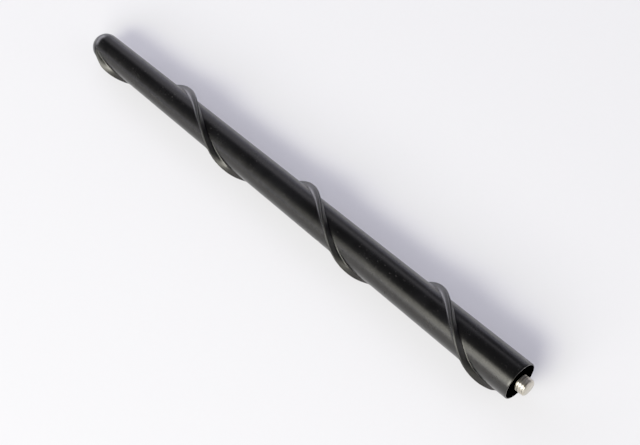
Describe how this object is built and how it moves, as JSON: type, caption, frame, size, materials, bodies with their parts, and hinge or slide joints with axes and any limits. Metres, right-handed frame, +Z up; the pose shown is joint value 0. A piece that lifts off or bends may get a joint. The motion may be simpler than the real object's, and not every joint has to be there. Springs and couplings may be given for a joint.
{
  "type": "screw-in rubber antenna mast",
  "caption": "Slim tapered rubber-covered antenna mast with a spiral rib, a rounded tip and a threaded stud in a hollow base skirt.",
  "frame": {"origin": "on the mast's axis, in the plane of the base rim", "axes": "+X along the mast's axis, from the tip towards the threaded stud; +Z up as the mast lies on a table"},
  "size_m": [0.1978, 0.0171, 0.0167],
  "materials": {
    "black_rubber": "satin",
    "plated_brass": "bright nickel plate",
    "brass": "turned",
    "glass_fibre": "pultruded",
    "enamelled_copper": "gloss enamel",
    "shrink_tube": "matt",
    "nylon": "moulded",
    "solder": "bright"
  },
  "bodies": {
    "root": {"rubber_sheath": "black_rubber", "base_skirt": "black_rubber", "threaded_stud": "plated_brass", "ferrule": "brass", "core_rod": "glass_fibre", "antenna_winding": "enamelled_copper", "winding_sleeve": "shrink_tube", "wire_end_cap": "nylon", "solder_joint": "solder"}
  },
  "joints": []
}
